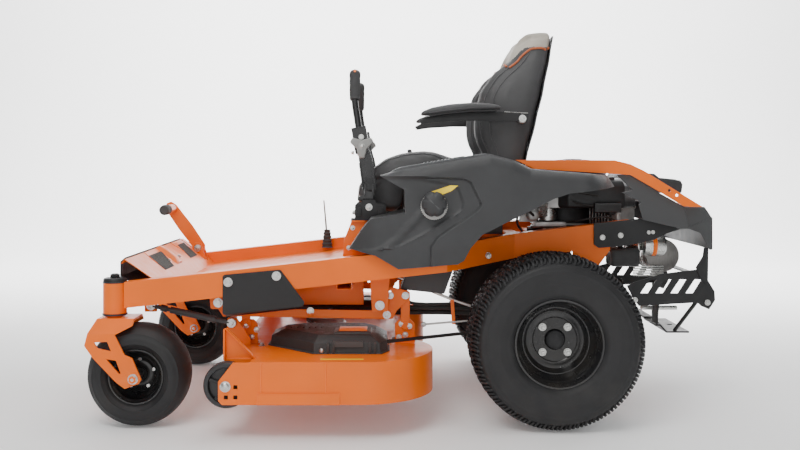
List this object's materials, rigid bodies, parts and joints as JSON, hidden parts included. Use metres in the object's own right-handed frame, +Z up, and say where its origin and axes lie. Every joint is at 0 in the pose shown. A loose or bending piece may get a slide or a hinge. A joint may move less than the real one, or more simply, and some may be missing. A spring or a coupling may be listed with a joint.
{
  "type": "zero turn mower",
  "caption": "Ride-on zero-turn mower with swivelling front casters, steering levers, a hung side-discharge cutting deck and a rear engine.",
  "frame": {"origin": "on the ground, under the middle of the overall box", "axes": "+X forwards, +Y to the driver's left, +Z up; the machine's centre plane is at Y = 0.1 m"},
  "size_m": [2.103, 1.598, 1.325],
  "materials": {
    "orange_paint": "gloss powder coat",
    "charcoal_paint": "satin powder coat",
    "grey_paint": "satin powder coat",
    "fender_plastic": "fine moulded grain",
    "black_plastic": "moulded",
    "black_gloss": "gloss",
    "zinc": "bright zinc",
    "engine_alloy": "as cast",
    "tyre_rubber": "matt",
    "belt_rubber": "matt",
    "grip_rubber": "soft",
    "seat_vinyl": "grained vinyl over foam",
    "tank_plastic": "blow moulded",
    "blade_steel": "black paint, ground edges",
    "muffler_steel": "heat-resistant"
  },
  "bodies": {
    "chassis": {"main_frame": "orange_paint", "cross_members": "orange_paint", "frame_hardware": "zinc", "floor_pan": "orange_paint", "toe_cover": "black_plastic", "side_steps": "charcoal_paint", "left_fender": "fender_plastic", "right_fender": "fender_plastic", "engine_guard": "orange_paint", "rear_bumper": "grey_paint", "rear_guard": "charcoal_paint", "engine_block": "engine_alloy", "engine_cowl": "black_plastic", "air_cleaner": "fender_plastic", "muffler": "muffler_steel", "transaxles": "engine_alloy", "lever_mounts": "charcoal_paint", "seat_base": "charcoal_paint", "fuel_tank": "tank_plastic"},
    "deck": {"deck_shell": "orange_paint", "belt_covers": "fender_plastic", "spindle_housings": "engine_alloy", "deck_belt": "belt_rubber"},
    "chute": {"discharge_chute": "black_plastic"},
    "pedal": {"lift_pedal": "orange_paint"},
    "front_cranks": {"front_cranks": "orange_paint"},
    "rear_cranks": {"rear_cranks": "orange_paint"},
    "lift_bars": {"lift_bars": "orange_paint"},
    "struts": {"front_struts": "zinc"},
    "seat_plate": {"seat_plate": "charcoal_paint"},
    "seat": {"seat_cushion": "seat_vinyl", "seat_back": "seat_vinyl"},
    "fuel_cap": {"fuel_cap": "black_plastic"},
    "throttle": {"throttle_lever": "black_plastic"},
    "brake_lever": {"brake_lever": "grip_rubber"},
    "pto_knob": {"pto_knob": "black_plastic"},
    "clutch_pulley": {"engine_pulley": "blade_steel"},
    "left_blade": {"left_spindle": "blade_steel"},
    "centre_blade": {"centre_spindle": "blade_steel"},
    "right_blade": {"right_spindle": "blade_steel"},
    "left_drive_wheel": {"left_rear_tyre": "tyre_rubber", "left_rear_rim": "black_gloss", "left_rear_hub": "zinc"},
    "left_caster": {"left_caster_fork": "orange_paint"},
    "left_caster_wheel": {"left_caster_tyre": "tyre_rubber", "left_caster_rim": "black_gloss"},
    "left_gauge": {"left_gauge_wheel": "black_plastic"},
    "left_lever_base": {"left_lever_base": "black_gloss"},
    "left_lever": {"left_lever": "black_gloss"},
    "left_armrest": {"left_armrest": "seat_vinyl"},
    "right_drive_wheel": {"right_rear_tyre": "tyre_rubber", "right_rear_rim": "black_gloss", "right_rear_hub": "zinc"},
    "right_caster": {"right_caster_fork": "orange_paint"},
    "right_caster_wheel": {"right_caster_tyre": "tyre_rubber", "right_caster_rim": "black_gloss"},
    "right_gauge": {"right_gauge_wheel": "black_plastic"},
    "right_lever_base": {"right_lever_base": "black_gloss"},
    "right_lever": {"right_lever": "black_gloss"},
    "right_armrest": {"right_armrest": "seat_vinyl"}
  },
  "joints": [
    {"name": "deck_lift", "type": "slide", "parent": "chassis", "child": "deck", "axis": [0, 0, 1], "range_m": [-0.075, 0.015], "deforming": ["deck_belt"]},
    {"name": "rear_crank_turn", "type": "hinge", "parent": "chassis", "child": "rear_cranks", "pos_m": [0.0986, 0.1, 0.376], "axis": [0, 1, 0], "range_deg": [-50, 10.2]},
    {"name": "front_crank_turn", "type": "hinge", "parent": "chassis", "child": "front_cranks", "pos_m": [0.635, 0.1, 0.385], "axis": [0, 1, 0], "range_deg": [-50, 10.2]},
    {"name": "link_bar_turn", "type": "hinge", "parent": "rear_cranks", "child": "lift_bars", "pos_m": [0.075, 0.1, 0.34], "axis": [0, 1, 0], "range_deg": [-10.2, 50]},
    {"name": "strut_swing", "type": "hinge", "parent": "chassis", "child": "struts", "pos_m": [0.86, 0.1, 0.374], "axis": [0, 1, 0], "range_deg": [-16.5, 3.7]},
    {"name": "pedal_swing", "type": "hinge", "parent": "chassis", "child": "pedal", "pos_m": [0.859, -0.3, 0.499], "axis": [0, 1, 0], "range_deg": [-35.5, 7.5]},
    {"name": "left_blade_spin", "type": "hinge", "parent": "deck", "child": "left_blade", "pos_m": [0.157, 0.55, 0.268], "axis": [0, 0, 1], "continuous": true},
    {"name": "centre_blade_spin", "type": "hinge", "parent": "deck", "child": "centre_blade", "pos_m": [0.302, 0.118, 0.268], "axis": [0, 0, 1], "continuous": true},
    {"name": "right_blade_spin", "type": "hinge", "parent": "deck", "child": "right_blade", "pos_m": [0.157, -0.314, 0.268], "axis": [0, 0, 1], "continuous": true},
    {"name": "clutch_pulley_spin", "type": "hinge", "parent": "chassis", "child": "clutch_pulley", "pos_m": [-0.6, 0.1, 0.268], "axis": [0, 0, 1], "continuous": true},
    {"name": "chute_fold", "type": "hinge", "parent": "deck", "child": "chute", "pos_m": [0.284, -0.566, 0.244], "axis": [-1, 0, 0], "range_deg": [0, 85]},
    {"name": "left_drive_spin", "type": "hinge", "parent": "chassis", "child": "left_drive_wheel", "pos_m": [-0.467, 0.58, 0.2795], "axis": [0, 1, 0], "continuous": true},
    {"name": "left_caster_swivel", "type": "hinge", "parent": "chassis", "child": "left_caster", "pos_m": [0.96, 0.58, 0.4], "axis": [0, 0, 1], "continuous": true},
    {"name": "left_caster_spin", "type": "hinge", "parent": "left_caster", "child": "left_caster_wheel", "pos_m": [0.877, 0.58, 0.165], "axis": [0, 1, 0], "continuous": true},
    {"name": "left_gauge_spin", "type": "hinge", "parent": "deck", "child": "left_gauge", "pos_m": [0.566, 0.759, 0.168], "axis": [0, 1, 0], "continuous": true},
    {"name": "left_lever_drive", "type": "hinge", "parent": "chassis", "child": "left_lever_base", "pos_m": [0.136, 0.4, 0.699], "axis": [0, 1, 0], "range_deg": [-18, 18]},
    {"name": "left_lever_park", "type": "hinge", "parent": "left_lever_base", "child": "left_lever", "pos_m": [0.136, 0.4, 0.763], "axis": [-1, 0, 0], "range_deg": [0, 24]},
    {"name": "left_armrest_fold", "type": "hinge", "parent": "seat", "child": "left_armrest", "pos_m": [-0.395, 0.37, 1.003], "axis": [0, -1, 0], "range_deg": [0, 80]},
    {"name": "right_drive_spin", "type": "hinge", "parent": "chassis", "child": "right_drive_wheel", "pos_m": [-0.467, -0.38, 0.2795], "axis": [0, 1, 0], "continuous": true},
    {"name": "right_caster_swivel", "type": "hinge", "parent": "chassis", "child": "right_caster", "pos_m": [0.96, -0.38, 0.4], "axis": [0, 0, 1], "continuous": true},
    {"name": "right_caster_spin", "type": "hinge", "parent": "right_caster", "child": "right_caster_wheel", "pos_m": [0.877, -0.38, 0.165], "axis": [0, 1, 0], "continuous": true},
    {"name": "right_gauge_spin", "type": "hinge", "parent": "deck", "child": "right_gauge", "pos_m": [0.566, -0.523, 0.168], "axis": [0, 1, 0], "continuous": true},
    {"name": "right_lever_drive", "type": "hinge", "parent": "chassis", "child": "right_lever_base", "pos_m": [0.136, -0.2, 0.699], "axis": [0, 1, 0], "range_deg": [-18, 18]},
    {"name": "right_lever_park", "type": "hinge", "parent": "right_lever_base", "child": "right_lever", "pos_m": [0.136, -0.2, 0.763], "axis": [1, 0, 0], "range_deg": [0, 24]},
    {"name": "right_armrest_fold", "type": "hinge", "parent": "seat", "child": "right_armrest", "pos_m": [-0.395, -0.17, 1.003], "axis": [0, -1, 0], "range_deg": [0, 80]},
    {"name": "seat_tilt", "type": "hinge", "parent": "chassis", "child": "seat_plate", "pos_m": [0.01, 0.1, 0.752], "axis": [0, 1, 0], "range_deg": [0, 20]},
    {"name": "seat_slide", "type": "slide", "parent": "seat_plate", "child": "seat", "axis": [1, 0, 0], "range_m": [0, 0.09]},
    {"name": "fuel_cap_turn", "type": "hinge", "parent": "chassis", "child": "fuel_cap", "pos_m": [-0.075, 0.66, 0.718], "axis": [0, 1, 0], "range_deg": [0, 120]},
    {"name": "throttle_swing", "type": "hinge", "parent": "chassis", "child": "throttle", "pos_m": [-0.04, -0.3, 0.826], "axis": [0, 1, 0], "range_deg": [-10, 12]},
    {"name": "brake_lever_swing", "type": "hinge", "parent": "chassis", "child": "brake_lever", "pos_m": [0.324, -0.325, 0.5], "axis": [0, 1, 0], "range_deg": [-5, 12]},
    {"name": "pto_pull", "type": "slide", "parent": "chassis", "child": "pto_knob", "axis": [0, 0, 1], "range_m": [0, 0.012]}
  ],
  "couplings": [
    {"joint": "rear_crank_turn", "follows": "deck_lift", "rad_per_m": 11.5},
    {"joint": "front_crank_turn", "follows": "deck_lift", "rad_per_m": 11.5},
    {"joint": "link_bar_turn", "follows": "deck_lift", "rad_per_m": -11.5},
    {"joint": "strut_swing", "follows": "deck_lift", "rad_per_m": 3.73},
    {"joint": "pedal_swing", "follows": "deck_lift", "rad_per_m": 8.1},
    {"joint": "left_blade_spin", "follows": "centre_blade_spin", "ratio": 1},
    {"joint": "right_blade_spin", "follows": "centre_blade_spin", "ratio": 1},
    {"joint": "clutch_pulley_spin", "follows": "centre_blade_spin", "ratio": 1}
  ]
}
